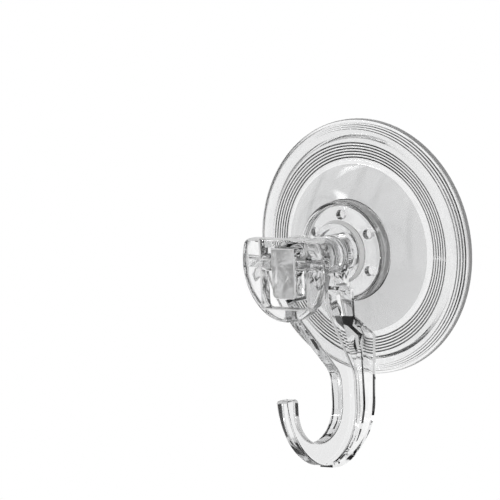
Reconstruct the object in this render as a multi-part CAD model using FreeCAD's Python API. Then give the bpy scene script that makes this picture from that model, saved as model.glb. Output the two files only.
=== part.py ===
import FreeCAD
import Part

import math
import os

from FreeCAD import Vector

# Lever-lock suction cup hook, in millimetres. The wall is the plane Y = 0 and the hook stands out
# of it towards -Y; Z is up, and the stem's axis is the line X = Z = 0. The lever is down, locked.
# A stand-off is a distance from the wall, so a point at stand-off h lies at Y = -h.

# Clearances
run_gap = 0.08          # shaft in a hole that it turns or slides in
fixed_gap = 0.02        # shaft in a hole that holds it still
seat_gap = 0.3          # faces of two bodies that meet
cam_gap = 0.15          # cam to the face that it bears on

# Backing dish
dish_radius = 41.2
dish_edge_low = 1.5     # stand-off of the rim's back
dish_edge_high = 2.4    # stand-off where the rim's bevel starts
rim_shoulder_radius = 39.4
rim_height = 4.7        # stand-off of the flat ring's front
ring_wall = 2.0
groove_count = 6
groove_pitch = 0.95
groove_outer_radius = 34.9
groove_width = 0.5
groove_depth = 0.35
dome_foot_radius = 29.2
dome_foot_round = 6.0
hub_radius = 16.8
hub_foot_height = 10.7  # stand-off where the dome meets the hub
hub_face_height = 16.2
hub_wall = 1.4
hub_face_wall = 1.5
hub_edge_round = 2.0
collar_foot_radius = 10.5
collar_top_radius = 9.9
collar_bore_radius = 8.0
collar_height = 2.2

# Suction pad and its moulded-in insert
pad_radius = 42.5
pad_lip_high = 2.2
pad_rim_wall = 1.2
pad_seal_radius = 34.5  # the flat ring that seals reaches in to here
pad_hollow_height = 5.2
pad_hollow_flat = 11.0
insert_radius = 15.1
insert_wall = 2.2
insert_sink = 0.4       # insert's face below the hub's ceiling when locked
insert_boss_radius = 6.0
insert_boss_depth = 3.6
anchor_count = 6
anchor_pitch_radius = 12.2
anchor_radius = 1.65

# Pull stem
stem_radius = 4.5
tail_radius = 3.1
tail_length = 5.2
head_width = 9.5
head_depth = 5.2
head_top = 5.3
head_bottom = 11.4
head_low_round = 1.6
head_edge_chamfer = 0.35
brow_setback = 0.9      # front of the head's top bar, behind the head's own
brow_side_gap = 0.3     # between that bar's ends and the lever's cheeks
brow_round = 0.8

# Lever and its pin
pin_height = 45.0       # stand-off of the pin's axis
pin_radius = 1.6
knuckle_radius = 2.6
knuckle_inset = 1.1     # knuckle's end, in from the plate's side
lever_half_width = 16.8
lever_half_height = 19.5
lever_side_extra = 2.0  # what the side arcs' radius adds to the half height
lever_centre_z = 0.2
lever_top = 8.2
lever_front = 2.6       # plate's front, forward of the pin's axis
lever_wall = 4.5
lever_corner_round = 2.8
lever_edge_round = 1.1
lever_rear_chamfer = 0.5
window_half_width = 9.05
window_bottom = 14.7
window_corner_round = 1.6
window_rim_chamfer = 0.4
cheek_gap = 0.35        # between a cam and the side of the stem's head
pull_length = 3.5       # how far the stem travels over a quarter turn of the lever
cam_reach = 6.35        # pin's axis to the cam's bearing point, locked
cam_toe_height = 0.5    # below that point, where the cam's flat underside starts
pin_end_gap = 0.25
pin_inset = 0.5
pin_end_chamfer = 0.25
cam_lap = 1.0           # how far the cam's outer end stands in behind the cheek

# Hook moulding
sleeve_radius = 6.3
sleeve_relief_radius = 5.15
sleeve_land = 4.0
flange_radius = 8.5
flange_wall = 2.0
bar_width = 4.6
bar_edge_round = 0.6
web_width = 1.9
back_half_width = 5.3
back_wall = 1.6
back_step_run = 1.2     # the height over which the strip steps back past the collar
back_end_inset = 0.05   # the strip's end, in from the bar's side
back_low_height = 5.5   # stand-off of the lower back strip's rear face
back_low_top = 28.8
back_high_low = 20.8
back_taper_half_width = 4.0
back_end_angle = 101    # where the strip ends under the heel, in degrees below level
nose_reach = 6.1        # nose's front, forward of the bearing flange
nose_wall = 2.5
head_clearance = 0.8    # nose's top below the stem's head
arm_setback = 1.8       # arm's front, behind the nose's
shoulder_length = 3.9
shoulder_round = 5.0
arm_depth = 16.85       # across the top of the arm, front to back
arm_back_low = 15.5
knee_low = 40.8         # depth of the bend at the back of the shank
knee_round = 9.0
jaw_radius = 11.8
jaw_height = 33.4       # stand-off of the jaw's centre
jaw_drop = 49.2         # its depth below the stem's axis
tip_wall = 5.9
tip_rise = 4.5
tip_inner_round = 1.6
tip_outer_round = 2.0
shank_depth = 10.3
sole_wall = 15.4        # what the long arc under the jaw adds to the jaw's radius
sole_rise = 6.1         # that arc's centre above the jaw's centre
heel_wall = 6.0         # what the heel's arc adds to the jaw's radius
back_heel_wall = 2.2    # what the strip's arc adds to the heel's

# Sizes that follow
bore_radius = stem_radius + run_gap
hub_ceiling = hub_face_height - hub_face_wall
hub_bore_radius = hub_radius - hub_wall
insert_face = hub_ceiling - insert_sink
insert_back = insert_face - insert_wall
collar_face = hub_face_height + collar_height
flange_face = pin_height - cam_reach - cam_gap
flange_back = flange_face - flange_wall
sleeve_foot = hub_face_height + seat_gap
head_front = pin_height + lever_front
head_back = head_front - head_depth
cam_inner = head_width / 2 + cheek_gap
cam_rate = pull_length / (math.pi / 2)
nose_height = flange_face + nose_reach
nose_top = head_bottom + head_clearance
arm_front_height = nose_height - arm_setback
arm_front_low = nose_top + nose_wall + shoulder_length
arm_back_height = arm_front_height - arm_depth
shank_front_height = jaw_height - jaw_radius
shank_back_height = shank_front_height - shank_depth
sole_radius = jaw_radius + sole_wall
heel_radius = jaw_radius + heel_wall
back_heel_radius = heel_radius + back_heel_wall
back_step_top = -collar_foot_radius - seat_gap
jaw = (-jaw_height, -jaw_drop)


def at_side(y, z):
    """A point of a side view, seen along X."""
    return Vector(0, y, z)


def at_front(x, z):
    """A point of a front view, seen along Y."""
    return Vector(x, 0, z)


def at_section(radius, height):
    """A point of a section through the stem's axis."""
    return Vector(radius, -height, 0)


def bend(before, corner, after, radius):
    """The two ends and the middle of the arc that rounds a corner."""
    back = (before - corner).normalize()
    ahead = (after - corner).normalize()
    half = back.getAngle(ahead) / 2
    reach = radius / math.tan(half)
    middle = (back + ahead).normalize() * (radius / math.sin(half) - radius)
    return corner + back * reach, corner + middle, corner + ahead * reach


def path(points, place):
    """Edges along an open run of points; a point's third number rounds its corner."""
    spots = [place(p[0], p[1]) for p in points]
    edges = []
    here = spots[0]
    for i in range(1, len(points) - 1):
        radius = points[i][2] if len(points[i]) > 2 else 0
        back = spots[i - 1] - spots[i]
        ahead = spots[i + 1] - spots[i]
        room = 0.48 * min(back.Length, ahead.Length)
        radius = min(radius, room * math.tan(back.getAngle(ahead) / 2))
        if radius:
            start, middle, end = bend(spots[i - 1], spots[i], spots[i + 1], radius)
            edges.append(Part.makeLine(here, start))
            edges.append(Part.Arc(start, middle, end).toShape())
            here = end
        else:
            edges.append(Part.makeLine(here, spots[i]))
            here = spots[i]
    edges.append(Part.makeLine(here, spots[-1]))
    return edges


def closed(points, place):
    """A face inside a closed run of points; its first corner stays sharp."""
    return Part.Face(Part.Wire(path(points + points[:1], place)))


def turned(points):
    """A solid turned about the stem's axis from its section."""
    return closed(points, at_section).revolve(Vector(), Vector(0, 1, 0), 360)


def slab(face, width):
    """A side view's face made into a plate of that width, centred on X = 0."""
    face.translate(Vector(-width / 2, 0, 0))
    return face.extrude(Vector(width, 0, 0))


def rod(radius, low, high):
    """A cylinder on the stem's axis between two stand-offs."""
    return Part.makeCylinder(radius, high - low, Vector(0, -low, 0), Vector(0, -1, 0))


def cross_rod(radius, left, right):
    """A cylinder on the pin's axis between two places along X."""
    return Part.makeCylinder(radius, right - left, Vector(left, -pin_height, 0), Vector(1, 0, 0))


def around(shape, count):
    """Copies of a shape spaced evenly about the stem's axis, the first one on top."""
    copies = []
    for i in range(count):
        copy = shape.copy()
        copy.rotate(Vector(), Vector(0, 1, 0), 360 * i / count)
        copies.append(copy)
    return copies


def edges_at(shape, height):
    """The edges of a solid that lie wholly at one stand-off."""
    return [e for e in shape.Edges if abs(e.BoundBox.YMin + height) < 1e-4 and e.BoundBox.YLength < 1e-4]


def backing_dish():
    """The stiff clear dish: hub drum with a collar, dome, and a ring with fine grooves."""
    ring_back = rim_height - ring_wall
    front = [
        (bore_radius, hub_face_height),
        (collar_bore_radius, hub_face_height),
        (collar_bore_radius, collar_face),
        (collar_top_radius, collar_face),
        (collar_foot_radius, hub_face_height),
        (hub_radius, hub_face_height, hub_edge_round),
        (hub_radius, hub_foot_height),
        (dome_foot_radius, rim_height, dome_foot_round),
        (rim_shoulder_radius, rim_height),
        (dish_radius, dish_edge_high),
    ]
    back = [
        (dish_radius, dish_edge_low),
        (rim_shoulder_radius - ring_wall, dish_edge_low),
        (rim_shoulder_radius - 1.5 * ring_wall, ring_back),
        (dome_foot_radius - 0.4 * ring_wall, ring_back, dome_foot_round),
        (hub_bore_radius, hub_foot_height - ring_wall),
        (hub_bore_radius, hub_ceiling),
        (bore_radius, hub_ceiling),
    ]
    dish = turned(front + back)
    for i in range(groove_count):
        middle = groove_outer_radius - i * groove_pitch
        dish = dish.cut(turned([
            (middle - groove_width / 2, rim_height + groove_depth),
            (middle - groove_width / 2, rim_height),
            (middle, rim_height - groove_depth),
            (middle + groove_width / 2, rim_height),
            (middle + groove_width / 2, rim_height + groove_depth),
        ]))
    return dish


def anchor_hole(radius, low, high):
    """The plugs of soft plastic that lock the insert in, or the holes that they fill."""
    first = rod(radius, low, high)
    first.translate(Vector(0, 0, anchor_pitch_radius))
    return around(first, anchor_count)


def suction_pad():
    """The soft disc, drawn up into the dish as it is when locked, moulded round its insert."""
    ring_back = rim_height - ring_wall - seat_gap
    under_hub = hub_foot_height - ring_wall - seat_gap
    lip_radius = dish_radius + seat_gap
    outside = [
        (0, insert_back),
        (insert_radius, insert_back),
        (insert_radius, under_hub),
        (dome_foot_radius - 0.4 * ring_wall, ring_back, dome_foot_round),
        (rim_shoulder_radius - 1.6 * ring_wall, ring_back),
        (rim_shoulder_radius - 1.1 * ring_wall, pad_rim_wall),
        (lip_radius, pad_rim_wall),
        (lip_radius, pad_lip_high),
        (pad_radius, pad_lip_high),
        (pad_radius, 0),
    ]
    inside = [
        (pad_seal_radius, 0),
        (pad_hollow_flat, pad_hollow_height),
        (0, pad_hollow_height),
    ]
    pad = turned(outside + inside)
    pocket = rod(insert_boss_radius + fixed_gap, insert_back - insert_boss_depth - fixed_gap, insert_face)
    pad = pad.cut(pocket)
    for plug in anchor_hole(anchor_radius - fixed_gap, insert_back - 1, insert_face):
        pad = pad.fuse(plug)
    return pad


def pad_insert():
    """The stiff disc inside the pad, with the boss that the stem screws into."""
    insert = rod(insert_radius, insert_back + fixed_gap, insert_face)
    insert = insert.fuse(rod(insert_boss_radius, insert_back - insert_boss_depth, insert_face))
    for hole in anchor_hole(anchor_radius, insert_back - 1, insert_face + 1):
        insert = insert.cut(hole)
    socket = rod(tail_radius + fixed_gap, insert_face - tail_length - fixed_gap, insert_face + 1)
    return insert.cut(socket)


def stem_head():
    """The flat head that the lever straddles, with its long tail hanging down."""
    half = head_width / 2
    face = closed([
        (0, -head_bottom),
        (half, -head_bottom, head_low_round),
        (half, head_top),
        (-half, head_top),
        (-half, -head_bottom, head_low_round),
    ], at_front)
    face.translate(Vector(0, -head_front, 0))
    head = face.extrude(Vector(0, head_depth, 0))
    head = head.makeChamfer(head_edge_chamfer, edges_at(head, head_front))
    return head.fuse(stem_brow())


def stem_brow():
    """The bar on top of the head that fills the mouth of the lever's fork."""
    half = window_half_width - brow_side_gap
    front = head_front - brow_setback
    depth = front - (head_front - lever_wall)
    brow = Part.makeBox(2 * half, depth, lever_top - head_top, Vector(-half, -front, head_top))
    upper = [e for e in edges_at(brow, front) if e.BoundBox.ZMin > lever_top - 1e-4]
    return brow.makeFillet(brow_round, upper)


def pull_stem():
    """The rod that draws the pad out: screwed tail, round shank, flat head with the pin's hole."""
    stem = rod(stem_radius, insert_face, head_back + head_depth / 2)
    stem = stem.fuse(rod(tail_radius, insert_face - tail_length, insert_face + 1))
    stem = stem.fuse(stem_head())
    return stem.cut(cross_rod(pin_radius + fixed_gap, -head_width, head_width)).removeSplitter()


def cam_point(angle):
    """The point of the cam's working edge that bears when the lever has turned by an angle.

    The edge's distance from the pin falls evenly with the angle, so the edge is an involute.
    """
    reach = cam_reach - cam_rate * angle
    return Vector(
        0,
        -pin_height + reach * math.cos(angle) + cam_rate * math.sin(angle),
        reach * math.sin(angle) - cam_rate * math.cos(angle),
    )


def cam():
    """One cam lobe as a side view: the involute edge, closed through the pin's knuckle."""
    steps = 8
    points = [cam_point(math.pi / 2 * i / steps) for i in range(steps + 1)]
    edge = Part.BSplineCurve()
    edge.interpolate(points)
    pin = Vector(0, -pin_height, 0)
    heel = pin + Vector(0, 0, -knuckle_radius)
    toe = pin + Vector(0, 0, knuckle_radius)
    nose = points[0] + Vector(0, 0, -cam_toe_height)
    wire = Part.Wire([
        edge.toShape(),
        Part.makeLine(points[-1], toe),
        Part.makeLine(toe, heel),
        Part.makeLine(heel, nose),
        Part.makeLine(nose, points[0]),
    ])
    return Part.Face(wire)


def lever_outline():
    """The thumb plate's front view: an oval of two side arcs and a bottom arc, closed above its top."""
    side = lever_half_height + lever_side_extra
    inset = side - lever_half_width
    low = (side ** 2 - lever_half_height ** 2 - inset ** 2) / (2 * lever_side_extra)
    low_centre = at_front(0, lever_centre_z - lever_half_height + low)
    side_centre = at_front(-inset, lever_centre_z)
    away = (low_centre - side_centre).normalize()
    join = side_centre + away * side
    top = lever_centre_z + lever_half_height / 2
    reach = math.sqrt(side ** 2 - (top - lever_centre_z) ** 2) - inset
    return Part.Face(Part.Wire([
        Part.Arc(at_front(reach, top), at_front(lever_half_width, lever_centre_z), join).toShape(),
        Part.Arc(join, low_centre + at_front(0, -low), at_front(-join.x, join.z)).toShape(),
        Part.Arc(at_front(-join.x, join.z), at_front(-lever_half_width, lever_centre_z),
                 at_front(-reach, top)).toShape(),
        Part.makeLine(at_front(-reach, top), at_front(reach, top)),
    ]))


def lever_prism(front, depth):
    """The plate's oval between two stand-offs, with its flat top."""
    disc = lever_outline()
    disc.translate(Vector(0, -front, 0))
    prism = disc.extrude(Vector(0, depth, 0))
    wide = 4 * lever_half_width
    tall = 4 * lever_half_height
    box = Part.makeBox(wide, depth, tall, Vector(-wide / 2, -front, lever_top - tall))
    return prism.common(box)


def thumb_plate():
    """The lever's D-shaped plate with its window, open at the top so that it can straddle the stem."""
    front = pin_height + lever_front
    plate = lever_prism(front, lever_wall)
    corners = [e for e in plate.Edges if e.BoundBox.ZMin > lever_top - 1e-4 and e.BoundBox.XLength < 1e-4]
    plate = plate.makeFillet(lever_corner_round, corners)
    plate = plate.makeFillet(lever_edge_round, edges_at(plate, front))
    plate = plate.makeChamfer(lever_rear_chamfer, edges_at(plate, front - lever_wall))
    window = Part.makeBox(2 * window_half_width, 3 * lever_wall, 3 * lever_half_height,
                          Vector(-window_half_width, -front - lever_wall, -window_bottom))
    low = [e for e in window.Edges if e.BoundBox.ZMax < 1e-4 - window_bottom and e.BoundBox.XLength < 1e-4]
    plate = plate.cut(window.makeFillet(window_corner_round, low))
    rims = [e for e in edges_at(plate, front) if e.BoundBox.XMax < window_half_width + 1e-3
            and e.BoundBox.XMin > -window_half_width - 1e-3]
    return plate.makeChamfer(window_rim_chamfer, rims)


def cam_lever():
    """The thumb lever: plate, knuckle in both cheeks, and the two cams beside the stem's head."""
    behind = lever_prism(pin_height + lever_front, 2 * lever_wall)
    knuckle_end = lever_half_width - knuckle_inset
    lever = thumb_plate()
    for side in (-1, 1):
        ends = sorted((side * window_half_width, side * knuckle_end))
        lever = lever.fuse(cross_rod(knuckle_radius, *ends).common(behind))
        ends = sorted((side * cam_inner, side * (window_half_width + cam_lap)))
        lobe = cam()
        lobe.translate(Vector(ends[0], 0, 0))
        lever = lever.fuse(lobe.extrude(Vector(ends[1] - ends[0], 0, 0)))
        lever = lever.fuse(cross_rod(knuckle_radius, *ends))
    bore = cross_rod(pin_radius + run_gap, -window_half_width, lever_half_width + 1)
    return lever.cut(bore).removeSplitter()


def hinge_pin():
    """The clear pin through both cams and the stem's head, pushed in from the right."""
    pin = cross_rod(pin_radius, pin_end_gap - window_half_width, lever_half_width - pin_inset)
    return pin.makeChamfer(pin_end_chamfer, [e for e in pin.Edges if e.BoundBox.XLength < 1e-4])


def heel_centre(face_height, radius):
    """Centre of the arc that runs into the sole's arc and into a straight back face."""
    y = -face_height - radius
    across = (y - sole_centre().y) / (sole_radius - radius)
    return at_side(y, sole_centre().z - (sole_radius - radius) * math.sqrt(1 - across ** 2))


def sole_centre():
    """Centre of the long arc under the jaw."""
    tip_y = jaw[0] - jaw_radius - tip_wall
    return at_side(tip_y + math.sqrt(sole_radius ** 2 - sole_rise ** 2), jaw[1] + sole_rise)


def on_arc(centre, radius, degrees):
    """A point on a side view's circle."""
    angle = math.radians(degrees)
    return centre + at_side(radius * math.cos(angle), radius * math.sin(angle))


def bearing(centre, point):
    """Direction from a centre to a point in the side view, in degrees."""
    return math.degrees(math.atan2(point.z - centre.z, point.y - centre.y))


def arc(centre, radius, start, end):
    """A side view's arc between two directions in degrees."""
    return Part.Arc(on_arc(centre, radius, start), on_arc(centre, radius, (start + end) / 2),
                    on_arc(centre, radius, end)).toShape()


def arm_and_jaw():
    """The bar that carries the load: from the sleeve down and back, then round the jaw to its tip."""
    sole = sole_centre()
    heel = heel_centre(shank_back_height, heel_radius)
    tip_z = jaw[1] + tip_rise
    sole_start = bearing(sole, at_side(sole.y - sole_radius, jaw[1] + 2)) + 360
    outer = on_arc(sole, sole_radius, sole_start)
    lean = math.radians(sole_start)
    tip_corner_y = outer.y - (tip_z - outer.z) * math.tan(lean)
    front = path([
        (-flange_back, -1),
        (-flange_face, -1),
        (-flange_face, -nose_top),
        (-nose_height, -nose_top),
        (-arm_front_height, -nose_top - nose_wall),
        (-arm_front_height, -arm_front_low, shoulder_round),
        (-shank_front_height, shank_front_height - arm_front_height - arm_front_low, knee_round),
        (-shank_front_height, jaw[1]),
    ], at_side)
    tip = path([
        (jaw[0] - jaw_radius, jaw[1]),
        (jaw[0] - jaw_radius, tip_z, tip_inner_round),
        (tip_corner_y, tip_z, tip_outer_round),
        (outer.y, outer.z),
    ], at_side)
    turn = bearing(sole, heel) + 360
    back = path([
        (-shank_back_height, heel.z),
        (-shank_back_height, -knee_low, knee_round),
        (-arm_back_height, -arm_back_low, knee_round),
        (-arm_back_height, -1),
        (-flange_back, -1),
    ], at_side)
    edges = front
    edges.append(arc(at_side(*jaw), jaw_radius, 0, -180))
    edges += tip
    edges.append(arc(sole, sole_radius, sole_start, turn))
    edges.append(arc(heel, heel_radius, turn, 360))
    edges += back
    bar = slab(Part.Face(Part.Wire(edges)), bar_width)
    sides = [e for e in bar.Edges if e.BoundBox.XLength < 1e-4]
    return bar.makeFillet(bar_edge_round, sides)


def back_strip():
    """The strip behind the web: it steps over the collar, the hub and the dish, then rounds the heel."""
    collar_y = -collar_face - seat_gap
    hub_y = -hub_face_height - seat_gap
    low_y = -back_low_height
    heel = heel_centre(back_low_height, back_heel_radius)
    end = -back_end_angle
    rear = path([
        (collar_y, 0),
        (collar_y, back_step_top),
        (hub_y, back_step_top - back_step_run),
        (hub_y, -back_high_low),
        (low_y, -back_low_top),
        (low_y, heel.z),
    ], at_side)
    edges = rear
    edges.append(arc(heel, back_heel_radius, 0, end))
    edges.append(Part.makeLine(on_arc(heel, back_heel_radius, end), on_arc(heel, back_heel_radius - back_wall, end)))
    edges.append(arc(heel, back_heel_radius - back_wall, end, 0))
    edges += path([
        (low_y - back_wall, heel.z),
        (low_y - back_wall, -back_low_top),
        (hub_y - back_wall, -back_high_low),
        (hub_y - back_wall, back_step_top - 2 * back_step_run),
        (collar_y - back_wall, back_step_top - back_step_run),
        (collar_y - back_wall, 0),
        (collar_y, 0),
    ], at_side)
    strip = slab(Part.Face(Part.Wire(edges)), 2 * back_half_width + 2)
    bottom = heel.z - back_heel_radius
    tail = bar_width / 2 - back_end_inset
    half = [
        (back_half_width, 1),
        (back_half_width, -back_low_top),
        (back_taper_half_width, heel.z),
        (0.6 * back_taper_half_width + 0.4 * tail, heel.z + 0.5 * (bottom - heel.z)),
        (tail, heel.z + 0.8 * (bottom - heel.z)),
        (tail, bottom - 1),
    ]
    outline = half + [(-x, z) for x, z in reversed(half)]
    mask = closed(outline, at_front)
    return strip.common(mask.extrude(Vector(0, -pin_height, 0)))


def web():
    """The thin plate between the arm and the back strip."""
    middle = back_wall / 2
    heel = heel_centre(back_low_height, back_heel_radius)
    inside = heel_centre(shank_back_height, heel_radius)
    low = on_arc(heel, back_heel_radius - middle, -70)
    mid = on_arc(heel, back_heel_radius - middle, -35)
    face = closed([
        (-arm_back_height - 2, -1),
        (-arm_back_height - 2, -arm_back_low),
        (-shank_back_height - 3, -knee_low),
        (-shank_back_height - 3, inside.z - 4),
        (low.y, low.z),
        (mid.y, mid.z),
        (-back_low_height - middle, heel.z),
        (-back_low_height - middle, -back_low_top),
        (-hub_face_height - seat_gap - middle, -back_high_low),
        (-hub_face_height - seat_gap - middle, back_step_top - 1.5 * back_step_run),
        (-collar_face - seat_gap - middle, back_step_top - 0.5 * back_step_run),
        (-collar_face - seat_gap - middle, -1),
    ], at_side)
    return slab(face, web_width)


def hook():
    """The hook moulding: sleeve with a bearing flange, arm, web, back strip and jaw in one piece."""
    body = rod(sleeve_radius, sleeve_foot, flange_face)
    body = body.fuse(rod(flange_radius, flange_back, flange_face))
    bar = arm_and_jaw()
    body = body.fuse(bar).fuse(web()).fuse(back_strip())
    body = body.cut(rod(bore_radius, sleeve_foot - 1, flange_face + 1))
    relief = rod(sleeve_relief_radius, sleeve_foot + sleeve_land, flange_face - sleeve_land)
    return body.cut(relief).removeSplitter()


def write(name, shape):
    """Keeps one piece as a STEP file and says what it holds."""
    solids = shape.Solids
    shape = solids[0] if len(solids) == 1 else Part.makeCompound(solids)
    box = shape.BoundBox
    print(f"{name}: {len(solids)} solid, volume {shape.Volume:.1f}, valid {shape.isValid()},"
          f" x {box.XMin:.2f} {box.XMax:.2f}, y {box.YMin:.2f} {box.YMax:.2f}, z {box.ZMin:.2f} {box.ZMax:.2f}")
    shape.exportStep(f"parts/{name}.step")


os.makedirs("parts", exist_ok=True)
write("backing_dish", backing_dish())
write("suction_pad", suction_pad())
write("pad_insert", pad_insert())
write("pull_stem", pull_stem())
write("cam_lever", cam_lever())
write("hinge_pin", hinge_pin())
write("hook", hook())
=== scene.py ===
import math
from types import SimpleNamespace

import bmesh
import bpy
import numpy as np
from mathutils import Matrix, Vector


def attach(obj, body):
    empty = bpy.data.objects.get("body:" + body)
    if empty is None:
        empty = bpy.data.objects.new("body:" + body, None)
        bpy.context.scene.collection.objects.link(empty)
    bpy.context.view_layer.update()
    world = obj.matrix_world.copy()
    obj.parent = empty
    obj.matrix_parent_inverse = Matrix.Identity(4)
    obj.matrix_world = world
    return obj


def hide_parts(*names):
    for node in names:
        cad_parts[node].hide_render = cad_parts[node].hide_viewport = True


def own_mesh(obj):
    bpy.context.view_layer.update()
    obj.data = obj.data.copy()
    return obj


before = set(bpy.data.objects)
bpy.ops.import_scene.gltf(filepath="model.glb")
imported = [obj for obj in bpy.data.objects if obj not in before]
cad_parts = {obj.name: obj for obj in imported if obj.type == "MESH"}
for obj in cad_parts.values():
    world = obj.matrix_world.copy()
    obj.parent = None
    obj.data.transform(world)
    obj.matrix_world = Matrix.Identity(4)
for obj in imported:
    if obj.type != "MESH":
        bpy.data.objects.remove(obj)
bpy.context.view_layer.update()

# Insert: a stiff disc cast in clear plastic, with six holes round a boss that stands back from it.
# The soft pad is moulded through the holes, so the two can't part, and the stem screws into the
# boss. Heights are measured from the wall and radii from the stem's axis, in millimetres.
MM = 0.001


def rounded(points):
    """A run of corners (radius, height) with its corners rounded.

    A third number is the corner's radius. The arc starts where the circle of that radius touches
    the two sides, r / tan(half the angle) from the corner, and it is cut short if a side is short.
    """
    arc_points, share_of_side = 9, 0.48
    run = np.array([p[:2] for p in points], float)
    out = [run[0]]
    for i in range(1, len(points) - 1):
        radius = points[i][2] if len(points[i]) > 2 else 0
        back, ahead = run[i - 1] - run[i], run[i + 1] - run[i]
        sides = np.hypot(*back), np.hypot(*ahead)
        back, ahead = back / sides[0], ahead / sides[1]
        half = math.acos(np.clip(back @ ahead, -1, 1)) / 2
        radius = min(radius, share_of_side * min(sides) * math.tan(half))
        if radius <= 0:
            out.append(run[i])
            continue
        inwards = (back + ahead) / np.hypot(*(back + ahead))
        middle = run[i] + inwards * radius / math.sin(half)
        start = run[i] + back * radius / math.tan(half)
        end = run[i] + ahead * radius / math.tan(half)
        first, last = (math.atan2(*(point - middle)[::-1]) for point in (start, end))
        turn = (last - first + math.pi) % (2 * math.pi) - math.pi
        t = first + turn * np.linspace(0, 1, arc_points)
        out.extend(middle + radius * np.c_[np.cos(t), np.sin(t)])
    out.append(run[-1])
    return np.array(out)


def new_object(name, data):
    """An object that stands in the scene."""
    made = bpy.data.objects.new(name, data)
    bpy.context.scene.collection.objects.link(made)
    return made


def smooth(mesh, crease=30):
    """Shades a mesh smooth but for the edges that turn by more than crease, in degrees."""
    mesh.shade_smooth()
    mesh.set_sharp_from_angle(angle=math.radians(crease))


def finish_mesh(piece, crease=30):
    """Merges doubled points, turns every face outwards, and shades smooth between the creases."""
    doubled, flat = 2e-6, 1e-7
    work = bmesh.new()
    work.from_mesh(piece.data)
    bmesh.ops.remove_doubles(work, verts=work.verts, dist=doubled)
    bmesh.ops.dissolve_degenerate(work, edges=work.edges, dist=flat)
    bmesh.ops.recalc_face_normals(work, faces=work.faces)
    work.to_mesh(piece.data)
    work.free()
    smooth(piece.data, crease)


def make_object(name, points, faces):
    """A finished mesh object in metres from points in millimetres."""
    mesh = bpy.data.meshes.new(name)
    mesh.from_pydata((np.asarray(points) * MM).tolist(), [], faces)
    piece = new_object(name, mesh)
    finish_mesh(piece)
    return piece


def turned(name, profile, segments, closed=False):
    """A shape of revolution about the stem's axis.

    A profile point (r, h) at angle t goes to (r cos t, -h, r sin t). The grid is one row of points
    for each angle, and a closed profile joins its last point to its first.
    """
    profile = np.asarray(profile, float)
    t = np.linspace(0, 2 * np.pi, segments, endpoint=False)[:, None]
    r, h = profile[None, :, 0], profile[None, :, 1]
    points = np.stack([r * np.cos(t), -h + 0 * t, r * np.sin(t)], -1).reshape(-1, 3)
    cols = len(profile)
    i, j = np.meshgrid(np.arange(segments), np.arange(cols if closed else cols - 1), indexing="ij")
    here, next_row, next_col = i * cols, ((i + 1) % segments) * cols, (j + 1) % cols
    faces = np.stack([here + j, here + next_col, next_row + next_col, next_row + j], -1)
    return make_object(name, points, faces.reshape(-1, 4).tolist())


def joined(name, base, extras, operation="UNION"):
    """One clean skin from overlapping pieces, or with the extras cut away, which are used up."""
    for extra in extras:
        step = base.modifiers.new("join", "BOOLEAN")
        step.operation = operation
        step.solver = "EXACT"
        step.object = extra
    depsgraph = bpy.context.evaluated_depsgraph_get()
    mesh = bpy.data.meshes.new_from_object(base.evaluated_get(depsgraph))
    for extra in extras:
        bpy.data.objects.remove(extra)
    base.modifiers.clear()
    old = base.data
    base.data = mesh
    base.name = name
    mesh.name = name
    bpy.data.meshes.remove(old)
    return base


def place(piece, body, node):
    """Rides on its body and stands for its node; its finish is in its own slots."""
    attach(piece, body)
    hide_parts(node)


def moulding_group():
    """Faint marks of moulding: slow waves of shrinkage and fine rubbed scratches.

    Height is the waves' noise plus a little of the scratches', which are a noise drawn out into
    streaks and cut off below its peaks. Rough is Polish plus a share of the scratches, and Tint
    is the waves' noise.
    """
    group = bpy.data.node_groups.new("moulding marks", "ShaderNodeTree")
    for name, value in (("Wave Size", 90.0), ("Wear", 0.3), ("Polish", 0.012)):
        socket = group.interface.new_socket(name, in_out="INPUT", socket_type="NodeSocketFloat")
        socket.default_value = value
    for name in ("Height", "Rough", "Tint"):
        group.interface.new_socket(name, in_out="OUTPUT", socket_type="NodeSocketFloat")
    nodes, links = group.nodes, group.links
    take, give = nodes.new("NodeGroupInput"), nodes.new("NodeGroupOutput")
    position = nodes.new("ShaderNodeTexCoord")
    waves = nodes.new("ShaderNodeTexNoise")
    waves.inputs["Detail"].default_value = 1.5
    links.new(position.outputs["Object"], waves.inputs["Vector"])
    links.new(take.outputs["Wave Size"], waves.inputs["Scale"])
    stretch = nodes.new("ShaderNodeMapping")
    stretch.inputs["Scale"].default_value = (900, 900, 140)
    stretch.inputs["Rotation"].default_value = (0.4, 0.2, 0.3)
    links.new(position.outputs["Object"], stretch.inputs["Vector"])
    streaks = nodes.new("ShaderNodeTexNoise")
    streaks.inputs["Scale"].default_value = 1.0
    streaks.inputs["Detail"].default_value = 3.0
    links.new(stretch.outputs["Vector"], streaks.inputs["Vector"])
    rub = nodes.new("ShaderNodeMapRange")
    rub.inputs["From Min"].default_value = 0.55
    rub.inputs["From Max"].default_value = 0.75
    links.new(streaks.outputs["Fac"], rub.inputs["Value"])

    def share(value, factor, added=None):
        """value times factor, plus what is added."""
        node = nodes.new("ShaderNodeMath")
        node.operation = "MULTIPLY" if added is None else "MULTIPLY_ADD"
        links.new(value, node.inputs[0])
        if isinstance(factor, float):
            node.inputs[1].default_value = factor
        else:
            links.new(factor, node.inputs[1])
        if added is not None:
            links.new(added, node.inputs[2])
        return node.outputs[0]

    worn = share(rub.outputs["Result"], take.outputs["Wear"])
    links.new(share(worn, 0.03, waves.outputs["Fac"]), give.inputs["Height"])
    links.new(share(worn, 0.10, take.outputs["Polish"]), give.inputs["Rough"])
    links.new(waves.outputs["Fac"], give.inputs["Tint"])
    return group


moulding_marks = moulding_group()


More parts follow.
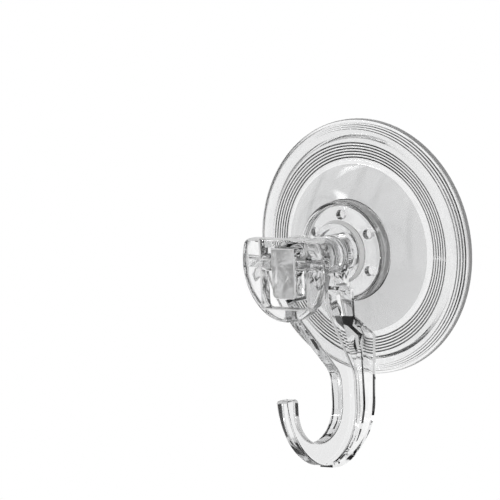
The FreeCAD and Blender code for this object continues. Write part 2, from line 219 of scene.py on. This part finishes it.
def clear_material(name, light, dark, ior=1.50, wave=90, wear=0.10, bump=0.03, density=22,
                   polish=0.012, clearness=1.0):
    """Clear plastic: it lets light through, slightly greyer where the tint's noise is high.

    The colour goes from light to dark, each a grey or three numbers. Light is lost along its way
    inside, density times the way, so edges that lead it a long way round look dark. A higher
    polish value is a duller face, and a clearness under 1 is a milky one.
    """
    material = bpy.data.materials.new(name)
    material.use_nodes = True
    nodes, links = material.node_tree.nodes, material.node_tree.links
    shader = nodes["Principled BSDF"]
    shader.inputs["Transmission Weight"].default_value = clearness
    shader.inputs["IOR"].default_value = ior
    marks = nodes.new("ShaderNodeGroup")
    marks.node_tree = moulding_marks
    marks.inputs["Wave Size"].default_value = wave
    marks.inputs["Wear"].default_value = wear
    marks.inputs["Polish"].default_value = polish
    tint = nodes.new("ShaderNodeMix")
    tint.data_type = "RGBA"
    tint.inputs["A"].default_value = (*np.broadcast_to(light, 3), 1)
    tint.inputs["B"].default_value = (*np.broadcast_to(dark, 3), 1)
    links.new(marks.outputs["Tint"], tint.inputs["Factor"])
    links.new(tint.outputs["Result"], shader.inputs["Base Color"])
    links.new(marks.outputs["Rough"], shader.inputs["Roughness"])
    relief = nodes.new("ShaderNodeBump")
    relief.inputs["Strength"].default_value = bump
    relief.inputs["Distance"].default_value = 0.0004
    links.new(marks.outputs["Height"], relief.inputs["Height"])
    links.new(relief.outputs["Normal"], shader.inputs["Normal"])
    inside = nodes.new("ShaderNodeVolumeAbsorption")
    inside.inputs["Color"].default_value = (0.50, 0.51, 0.52, 1)
    inside.inputs["Density"].default_value = density
    links.new(inside.outputs["Volume"], nodes["Material Output"].inputs["Volume"])
    return material


insert_radius, insert_front, insert_back = 15.1, 14.2, 12.02
boss_radius, boss_back = 6.0, 8.4
hole_radius, hole_circle = 1.65, 12.2
insert = turned("cast_insert", rounded([
    (0, insert_front), (insert_radius, insert_front, 0.3), (insert_radius, insert_back, 0.3),
    (boss_radius, insert_back, 0.3), (boss_radius, boss_back, 0.6), (0, boss_back),
]), segments=192)
cut_front, cut_back = 15, 11
holes = []
for angle in np.arange(6) * math.pi / 3 + math.pi / 2:
    hole = turned("hole", [(0, cut_front), (hole_radius, cut_front), (hole_radius, cut_back),
                           (0, cut_back)], segments=48)
    across, upwards = hole_circle * MM * math.cos(angle), hole_circle * MM * math.sin(angle)
    hole.data.transform(Matrix.Translation((across, 0, upwards)))
    holes.append(hole)
insert = joined("cast_insert", insert, holes, "DIFFERENCE")
smooth(insert.data)
cast_clear = clear_material("clear cast disc", 0.99, (0.97, 0.972, 0.975), density=15)
insert.data.materials.append(cast_clear)
place(insert, "puller", "pad_insert")

# Pad: the soft disc that seals on the wall, poured in clear vinyl round the insert.
# Its flat ring lies on the wall, its middle is drawn up into the dish, and its satin lip shows
# past the dish's rim, made milky and light as painted light.


def refinish(piece, material, chosen):
    """Gives a second finish to the faces for which chosen(faces) is true.

    A face's centre is told by across (x), up (z), height (-y) and reach, its distance from the
    stem's axis, all in millimetres. front (-y) and top (z) are parts of its normal, and outward
    is true where the normal leads away from the stem's axis.
    """
    mesh = piece.data
    values = {}
    for key in ("center", "normal"):
        values[key] = np.empty(3 * len(mesh.polygons))
        mesh.polygons.foreach_get(key, values[key])
    x, y, z = values["center"].reshape(-1, 3).T / MM
    way_x, way_y, way_z = values["normal"].reshape(-1, 3).T
    faces = SimpleNamespace(across=x, up=z, height=-y, reach=np.hypot(x, z), front=-way_y,
                            top=way_z, outward=way_x * x + way_z * z > 0)
    mesh.materials.append(material)
    slots = np.empty(len(mesh.polygons), np.int32)
    mesh.polygons.foreach_get("material_index", slots)
    slots[chosen(faces)] = len(mesh.materials) - 1
    mesh.polygons.foreach_set("material_index", slots)
    mesh.update()


vinyl = dict(ior=1.45, wave=60, wear=0.08, bump=0.04, density=12)
soft_clear = clear_material("clear soft vinyl", 0.99, (0.96, 0.962, 0.965), polish=0.08, **vinyl)
# Painted light: the lip is satin and is also made milky and light so that it reads light.
satin_lip_with_painted_light = clear_material("satin vinyl lip with painted light", 0.97, 0.93, polish=0.35, clearness=0.7, **vinyl)
pad_radius, lip_inside, lip_front = 42.5, 41.5, 2.2
pad_top, pad_shoulder, pad_flat, pad_edge = 11.98, 8.4, 2.4, 1.2
seal_inside, hollow_top = 34.5, 5.2
pad = turned("soft_pad", rounded([
    (0, pad_top), (insert_radius, pad_top, 0.3), (insert_radius, pad_shoulder, 0.5),
    (28.4, pad_flat, 6.0), (36.2, pad_flat), (37.2, pad_edge, 0.3), (lip_inside, pad_edge),
    (lip_inside, lip_front, 0.2), (pad_radius, lip_front, 0.5), (pad_radius, 0, 0.3),
    (seal_inside, 0, 8.0), (22.75, 2.6), (11.0, hollow_top, 8.0), (0, hollow_top),
]), segments=256)
pad.data.materials.append(soft_clear)
# The lip's outer faces take the satin finish with painted light.
refinish(pad, satin_lip_with_painted_light, lambda faces: faces.reach > pad_radius - 0.3)
place(pad, "cup", "suction_pad")
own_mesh(pad)

# Dish: the stiff dome that the pad is drawn up into, moulded in clear plastic. Six fine rings are
# pressed into its flat part, its rim falls in three fine steps, and a low collar round the bore
# centres the sleeve.
bore, hub_radius, hub_front, hub_round = 4.58, 16.8, 16.2, 2.0
collar_inside, collar_outside, collar_foot, collar_front = 8.0, 9.9, 10.5, 18.4
dish_hub = rounded([
    (bore, hub_front), (collar_inside, hub_front, 0.2), (collar_inside, collar_front, 0.3),
    (collar_outside, collar_front, 0.4), (collar_foot, hub_front, 0.3),
    (hub_radius, hub_front, hub_round), (hub_radius, 11.2),
])

dome_run, dome_top, dome_fall, dome_bulge = 12.4, 10.7, 6.0, 0.45
along = np.linspace(0.02, 0.9, 12)
dome = np.c_[hub_radius + dome_run * along,
             dome_top - dome_fall * along + dome_bulge * np.sin(math.pi * along)]
flat_front = 4.7
dome_foot = rounded([dome[-1], (29.2, flat_front, 6.0), (29.9, flat_front)])

ring_count, ring_pitch, outer_ring = 6, 0.95, 34.9
ring_middles = outer_ring - ring_pitch * np.arange(ring_count)
ring_section = [(-0.25, 0), (-0.23, 0.02), (-0.03, 0.33), (0, 0.35),
                (0.03, 0.33), (0.23, 0.02), (0.25, 0)]
rings = [(middle + across, flat_front - deep)
         for middle in ring_middles[::-1] for across, deep in ring_section]

rim_radius, rim_back, flat_back = 41.2, 1.5, 2.7
hub_bore, hub_ceiling = 15.4, 14.7
rim_steps = [(39.5, 4.05, 0.1), (40.0, 3.93, 0.2), (40.1, 3.28, 0.1), (40.6, 3.17, 0.2),
             (40.7, 2.52, 0.1)]
dish_rim = rounded([
    (35.3, flat_front), (39.4, flat_front, 0.2), *rim_steps, (rim_radius, 2.4, 0.2),
    (rim_radius, rim_back, 0.15), (37.4, rim_back), (36.4, flat_back), (28.4, flat_back, 6.0),
    (hub_bore, 8.7, 0.4), (hub_bore, hub_ceiling, 0.5), (bore, hub_ceiling),
])
dish = turned("domed_dish", np.vstack([dish_hub, dome[:-1], dome_foot, rings, dish_rim]),
              segments=320, closed=True)


def between(values, low, high):
    """True where a value lies between two ends."""
    return (values > low) & (values < high)


dish_clear = clear_material("clear domed plastic", 0.97, (0.94, 0.941, 0.942))
# Painted shade: the dome's front is coloured a darker grey than the clear dish round it.
painted_shade_dome = clear_material("domed plastic with painted shade", (0.70, 0.70, 0.702), (0.60, 0.602, 0.605),
                            wave=25, bump=0.01)
# Painted light: the walls round the collar and the hub are whiter, less absorbing and milky, so
# that they read light.
painted_light_wall = clear_material("clear wall with painted light", 1.0, 0.99, density=5, polish=0.16)
painted_light_hub = clear_material("hub wall with painted light", 1.0, 0.99, wave=60, density=5, polish=0.25,
                          clearness=0.72)
painted_light_collar = clear_material("collar wall with painted light", 1.0, 0.98, wave=60, density=5, polish=0.4,
                              clearness=0.12)
# Painted shade: the rim steps' walls and the rings' flanks are coloured dark, for the dark lines
# that shade draws there.
painted_shade_steps = clear_material("rim steps with painted shade", 0.32, 0.24)
painted_shade_grooves = clear_material("groove flanks with painted shade", 0.10, 0.07)
dish.data.materials.append(dish_clear)
# A wall is told by how little its normal leans towards the front.
wall_lean, step_lean, soft_lean = 0.35, 0.45, 0.6
dome_end = 28.3
# The dome's front faces take the grey of painted shade.
refinish(dish, painted_shade_dome, lambda faces: (faces.front > 0.2)
         & between(faces.height, flat_front + 0.05, dome_top + 0.05)
         & between(faces.reach, hub_radius + 0.1, dome_end))
# The walls round the collar and the hub take the painted light.
refinish(dish, painted_light_wall, lambda faces: (abs(faces.front) < soft_lean) & (faces.height > 10.5)
         & between(faces.reach, collar_outside - 0.9, hub_radius + 0.2))
refinish(dish, painted_light_hub, lambda faces: (abs(faces.front) < wall_lean) & (faces.height > dome_top)
         & between(faces.reach, hub_radius - 0.3, hub_radius + 0.2) & faces.outward)
refinish(dish, painted_light_collar, lambda faces: (abs(faces.front) < wall_lean)
         & (faces.height > hub_front) & faces.outward
         & between(faces.reach, collar_outside - 0.4, collar_foot + 0.5))
# The rim steps' walls and the rings' flanks take the dark of painted shade.
refinish(dish, painted_shade_steps, lambda faces: (abs(faces.front) < step_lean)
         & (faces.height > rim_steps[-1][1] - 0.02)
         & between(faces.reach, rim_steps[0][0] - 0.2, rim_steps[-1][0] + 0.2))
refinish(dish, painted_shade_grooves, lambda faces:
         between(faces.height, flat_front - 0.5, flat_front - 0.01)
         & between(faces.reach, ring_middles.min() - 0.35, ring_middles.max() + 0.3))
place(dish, "cup", "backing_dish")

# Stem and pin: the round rod that draws the pad out, moulded in clear plastic in one with its flat
# front head. It passes through the dish and the sleeve and is screwed into the insert, and a plain
# pin is pushed through its head from the right.


def merged_copy(name, node, material):
    """A solid's own surface with its loose triangles merged, smooth but for its real edges."""
    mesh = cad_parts[node].data.copy()
    mesh.name = name
    mesh.materials.clear()
    mesh.materials.append(material)
    piece = new_object(name, mesh)
    finish_mesh(piece, real_edge)
    return piece


def level_normals(piece):
    """Keeps the flat faces beside a rounded edge flat to the eye, so that they refract evenly."""
    weigh = piece.modifiers.new("level normals", "WEIGHTED_NORMAL")
    weigh.keep_sharp = True
    weigh.weight = 60


# Faces that meet at more than this many degrees keep their edge.
real_edge = 25
stem_plastic = dict(wave=60, wear=0.05, bump=0.02, density=12)
stem_clear = clear_material("clear stem plastic", 0.99, (0.98, 0.982, 0.985), **stem_plastic)
satin_face = clear_material("satin stem face", 0.99, 0.98, polish=0.2, clearness=0.62,
                            **stem_plastic)
# Painted highlight: bevels and faces turned upwards are made milky white so that they read as
# bright edges.
painted_highlight_edge = clear_material("satin edge with painted highlight", 1.0, 0.98, polish=0.4, clearness=0.2,
                             **stem_plastic)
stem = merged_copy("stem_and_pin", "pull_stem", stem_clear)

# In the head the pin is a touch wider, so that it closes its bore and the two make one skin.
pin_radius, in_head, pin_chamfer = 1.6, 1.64, 0.25
pin_left, pin_right, pin_front, head_half = -8.8, 16.3, 45, 4.7
pin_run = [(pin_left, 0), (pin_left, pin_radius - pin_chamfer),
           (pin_left + pin_chamfer, pin_radius), (-head_half, pin_radius), (-head_half, in_head),
           (head_half, in_head), (head_half, pin_radius), (pin_right - pin_chamfer, pin_radius),
           (pin_right, pin_radius - pin_chamfer), (pin_right, 0)]
pin = turned("pin", [(radius, across) for across, radius in pin_run], segments=96)
pin.data.transform(Matrix.Translation((0, -pin_front * MM, 0))
                   @ Matrix.Rotation(math.radians(90), 4, "Z"))
stem = joined("stem_and_pin", stem, [pin])
finish_mesh(stem, real_edge)
level_normals(stem)
head_face, head_bevel, top_edge = 47.4, 47.2, 7.4
refinish(stem, satin_face, lambda faces: (faces.front > 0.9) & (faces.height > head_face))
# The head's bevels and its top take the painted highlight.
refinish(stem, painted_highlight_edge, lambda faces:
         (between(faces.front, 0.3, 0.9) & (faces.height > head_bevel))
         | ((faces.top > 0.7) & (faces.up > top_edge)))
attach(stem, "puller")
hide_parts("pull_stem", "hinge_pin")

# Lever: the D-shaped thumb plate with its window and its two cams, one moulding in clear plastic.
# It turns on the pin, and its cams bear on the hook's flange and so draw the stem out. The
# window's walls are satin, and its top and the bevels round the window carry a painted highlight.
rigid_clear = clear_material("clear rigid plastic", 0.99, (0.98, 0.981, 0.982))
satin_window = clear_material("satin window wall", 0.98, 0.96, density=16, polish=0.2,
                              clearness=0.8)
lever = merged_copy("thumb_lever", "cam_lever", rigid_clear)
window_half, window_foot, plate_back, plate_bevel = 9.1, -15.0, 42, 47.1
refinish(lever, satin_window, lambda faces: (faces.front < 0.3) & (faces.height > plate_back)
         & (abs(faces.across) < window_half) & (faces.up > window_foot))
# The lever's top and the bevels round its window take the painted highlight.
refinish(lever, painted_highlight_edge, lambda faces:
         ((faces.top > 0.7) & (faces.up > top_edge))
         | (between(faces.front, 0.3, 0.9) & (faces.height > plate_bevel)
            & (abs(faces.across) < window_half + 0.5) & (faces.up > window_foot - 0.4)))
level_normals(lever)
place(lever, "lever", "cam_lever")

# Hook: sleeve, flange, arm, web, back strip and jaw, one moulding in the lever's clear plastic.
# Its sleeve turns on the stem, centred by the dish's collar and held back by the lever's cams.
hook = merged_copy("sleeve_and_hook", "hook", rigid_clear)
level_normals(hook)
place(hook, "hook", "hook")

# Floor: the part stands in the air before a plain white room, above a pale round floor.
# The floor is painted matt and lies well below the part.
floor_radius, floor_depth = 800, 300
round_it = np.linspace(0, 2 * np.pi, 96, endpoint=False)
floor_edge = np.c_[floor_radius * np.cos(round_it), floor_radius * np.sin(round_it),
                   np.full_like(round_it, -floor_depth)]
floor = make_object("studio_floor", floor_edge, [list(range(len(round_it)))])
floor_paint = bpy.data.materials.new("pale floor")
floor_paint.use_nodes = True
paint = floor_paint.node_tree.nodes["Principled BSDF"]
paint.inputs["Base Color"].default_value = (0.86, 0.86, 0.86, 1)
paint.inputs["Roughness"].default_value = 0.8
floor.data.materials.append(floor_paint)

# Light and camera: even light from a white room, two soft boxes, and a long lens from the right.
# Soft dark bands in the room, seen only in reflections and through the plastic, draw the edges of
# the clear parts. They fade for light that has gone through many surfaces.
world = bpy.data.worlds.new("white room")
bpy.context.scene.world = world
world.use_nodes = True
sky, links = world.node_tree.nodes, world.node_tree.links
background = sky["Background"]
ray = sky.new("ShaderNodeLightPath").outputs


def sky_math(operation, *values):
    """A sum in the world's nodes; its values are numbers or other nodes' outputs."""
    node = sky.new("ShaderNodeMath")
    node.operation = operation
    for socket, value in zip(node.inputs, values):
        if isinstance(value, (int, float)):
            socket.default_value = value
        else:
            links.new(value, socket)
    return node.outputs[0]


def sky_range(value, **ends):
    """A value mapped from one range to another, whose ends are From_Min, From_Max and so on."""
    node = sky.new("ShaderNodeMapRange")
    for key, number in ends.items():
        node.inputs[key.replace("_", " ")].default_value = number
    links.new(value, node.inputs["Value"])
    return node.outputs["Result"]


def bars(value, *bands):
    """White with a dark, soft-edged band at each (middle, half width) of a value from 0 to 1."""
    soft = 0.015
    node = sky.new("ShaderNodeValToRGB")
    ramp = node.color_ramp
    ramp.interpolation = "EASE"
    ramp.elements[0].position, ramp.elements[1].position = 0.0, 1.0
    for element in ramp.elements:
        element.color = (1, 1, 1, 1)
    for middle, half in bands:
        for edge, grey in ((-half - soft, 1), (-half + soft, 0), (half - soft, 0),
                           (half + soft, 1)):
            ramp.elements.new(middle + edge).color = (grey, grey, grey, 1)
    links.new(value, node.inputs["Fac"])
    return node.outputs["Color"]


seen = sky_math("MAXIMUM", ray["Is Camera Ray"], ray["Is Transmission Ray"])
seen = sky_math("MAXIMUM", seen, ray["Is Glossy Ray"])
links.new(sky_range(seen, To_Min=0.7, To_Max=1.0), background.inputs["Strength"])

direction = sky.new("ShaderNodeSeparateXYZ")
links.new(sky.new("ShaderNodeTexCoord").outputs["Generated"], direction.inputs[0])
turn_round = sky_math("ARCTAN2", direction.outputs["Y"], direction.outputs["X"])
quarter = sky_math("FRACT", sky_math("MULTIPLY_ADD", turn_round, 2 / math.pi, 8.0))
level = sky_math("ABSOLUTE", direction.outputs["Z"])
upright = bars(quarter, (0.167, 0.025), (0.5856, 0.035), (0.833, 0.025))
dark = sky_math("SUBTRACT", 1.0, sky_math("MULTIPLY", upright, bars(level, (0.72, 0.04))))
fading = sky_range(ray["Transmission Depth"], From_Min=2.0, From_Max=4.0, To_Min=0.98, To_Max=0.15)
room = sky_math("SUBTRACT", 1.0, sky_math("MULTIPLY", dark, fading))
for kind in ("Is Camera Ray", "Is Diffuse Ray"):
    room = sky_math("MAXIMUM", room, ray[kind])
links.new(room, background.inputs["Color"])


def soft_box(name, where, size, power):
    """An oblong lamp at a point in millimetres, turned to the part, that fades out at its edges."""
    data = bpy.data.lights.new(name, "AREA")
    data.shape = "RECTANGLE"
    data.size, data.size_y = size
    data.energy = power
    data.use_nodes = True
    inside, wires = data.node_tree.nodes, data.node_tree.links
    on_lamp = inside.new("ShaderNodeNewGeometry")
    from_middle = inside.new("ShaderNodeVectorMath")
    from_middle.operation = "DISTANCE"
    from_middle.inputs[1].default_value = (0.5, 0.5, 0)
    fade = inside.new("ShaderNodeMapRange")
    fade.interpolation_type = "SMOOTHSTEP"
    for key, number in (("From Min", 0.5), ("From Max", 0.12), ("To Max", 2.2)):
        fade.inputs[key].default_value = number
    wires.new(on_lamp.outputs["Parametric"], from_middle.inputs[0])
    wires.new(from_middle.outputs["Value"], fade.inputs["Value"])
    wires.new(fade.outputs["Result"], inside["Emission"].inputs["Strength"])
    lamp = new_object(name, data)
    lamp.location = Vector(where) * MM
    lit = Vector((0, -20 * MM, -10 * MM))
    lamp.rotation_euler = (lit - lamp.location).to_track_quat("-Z", "Y").to_euler()


soft_box("key", (-790, -950, 550), (0.9, 0.12), 1.6)
soft_box("fill", (760, -435, -217), (0.3, 0.10), 0.5)

# The hub's middle shows this many pixels right of the picture's middle and below it.
hub_right, hub_down = 92.8, 1.3
picture_width, mm_per_pixel = 500, 0.33
sensor_width, distance = 36, 4.0
right = Vector((0.7985, 0.601, -0.0488)).normalized()
back = right.cross(Vector((-0.0396, 0.133, 0.990))).normalized()
up = back.cross(right)
hub_point = Vector((0, -0.0143, 0))
aim = hub_point - right * hub_right * mm_per_pixel * MM + up * hub_down * mm_per_pixel * MM
view = bpy.data.cameras.new("view")
view.lens = sensor_width * distance / (picture_width * mm_per_pixel * MM)
view.clip_end = 20
camera = new_object("view", view)
turned_to_part = Matrix((right, up, back)).transposed().to_4x4()
camera.matrix_world = Matrix.Translation(aim + back * distance) @ turned_to_part
bpy.context.scene.camera = camera
bpy.context.scene.view_settings.view_transform = "Standard"
